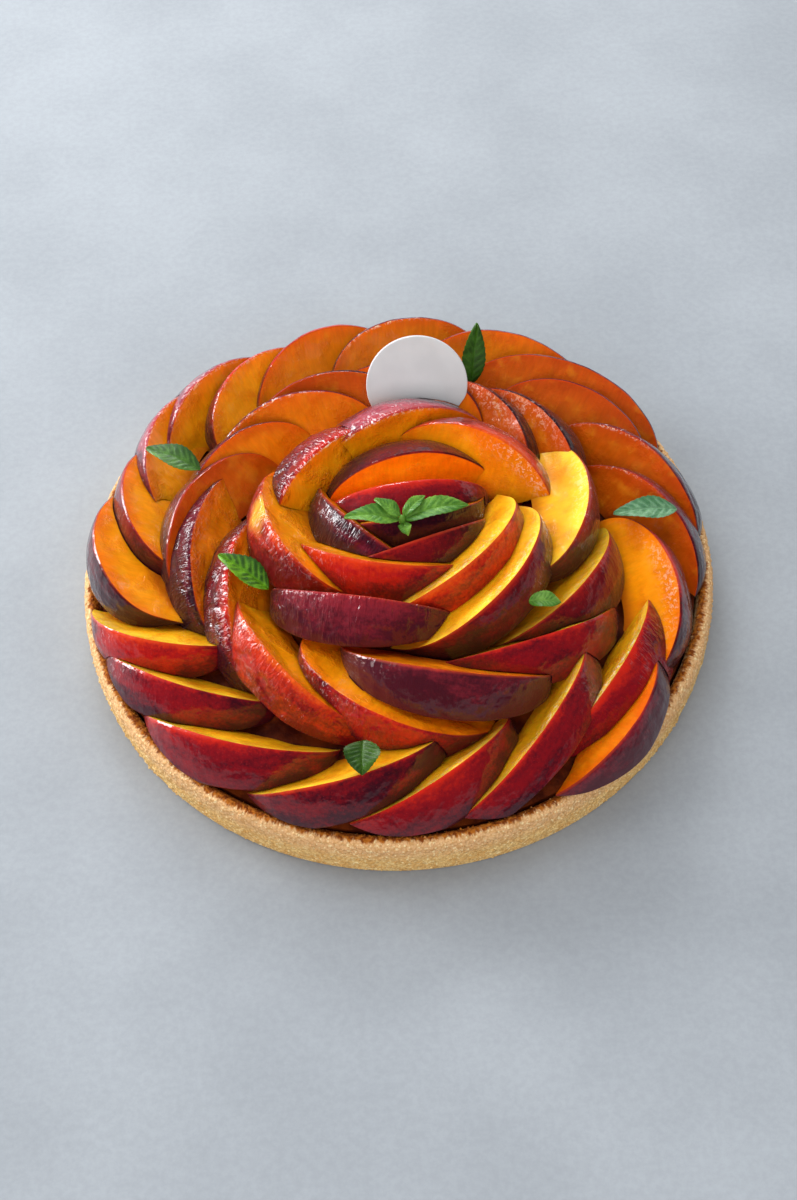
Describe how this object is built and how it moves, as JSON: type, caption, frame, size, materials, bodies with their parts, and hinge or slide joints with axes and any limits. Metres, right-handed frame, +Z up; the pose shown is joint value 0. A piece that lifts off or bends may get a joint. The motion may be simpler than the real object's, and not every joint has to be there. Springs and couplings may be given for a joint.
{
  "type": "peach tart",
  "caption": "Round shortcrust tart filled with skin-on peach slices set in rings like the petals of a rose, with mint leaves and a small blank round plaque.",
  "frame": {"origin": "centre of the shell's underside, on the surface that it stands on", "axes": "+Z up, -Y towards the front, where the plaque faces, +X to the right seen from the front"},
  "size_m": [0.2198, 0.2198, 0.0595],
  "materials": {
    "pastry": "baked shortcrust, pale gold and sandy, browned along the rim",
    "filling": "baked almond cream with a thin amber glaze",
    "peach": "glazed peach, amber to yellow flesh with a dark red skin",
    "plaque": "smooth plain white",
    "mint": "fresh green leaf with a soft shine"
  },
  "bodies": {
    "root": {"filling": "filling", "middle_slice_01": "peach", "middle_slice_02": "peach", "middle_slice_03": "peach", "middle_slice_04": "peach", "middle_slice_05": "peach", "middle_slice_06": "peach", "middle_slice_07": "peach", "middle_slice_08": "peach", "middle_slice_09": "peach", "middle_slice_10": "peach", "middle_slice_11": "peach", "middle_slice_12": "peach", "middle_slice_13": "peach", "middle_slice_14": "peach", "middle_slice_15": "peach", "mint_leaf_back": "mint", "mint_leaf_front": "mint", "mint_leaf_front_left": "mint", "mint_leaf_front_right": "mint", "mint_leaf_left": "mint", "mint_leaf_right": "mint", "mint_sprig": "mint", "outer_slice_01": "peach", "outer_slice_02": "peach", "outer_slice_03": "peach", "outer_slice_04": "peach", "outer_slice_05": "peach", "outer_slice_06": "peach", "outer_slice_07": "peach", "outer_slice_08": "peach", "outer_slice_09": "peach", "outer_slice_10": "peach", "outer_slice_11": "peach", "outer_slice_12": "peach", "outer_slice_13": "peach", "outer_slice_14": "peach", "outer_slice_15": "peach", "outer_slice_16": "peach", "outer_slice_17": "peach", "outer_slice_18": "peach", "outer_slice_19": "peach", "outer_slice_20": "peach", "outer_slice_21": "peach", "pastry_shell": "pastry", "plaque": "plaque", "rose_slice_01": "peach", "rose_slice_02": "peach", "rose_slice_03": "peach", "rose_slice_04": "peach", "rose_slice_05": "peach", "rose_slice_06": "peach", "rose_slice_07": "peach", "rose_slice_08": "peach", "rose_slice_09": "peach", "rose_slice_10": "peach", "rose_slice_11": "peach", "rose_slice_12": "peach", "rose_slice_13": "peach"}
  },
  "joints": []
}
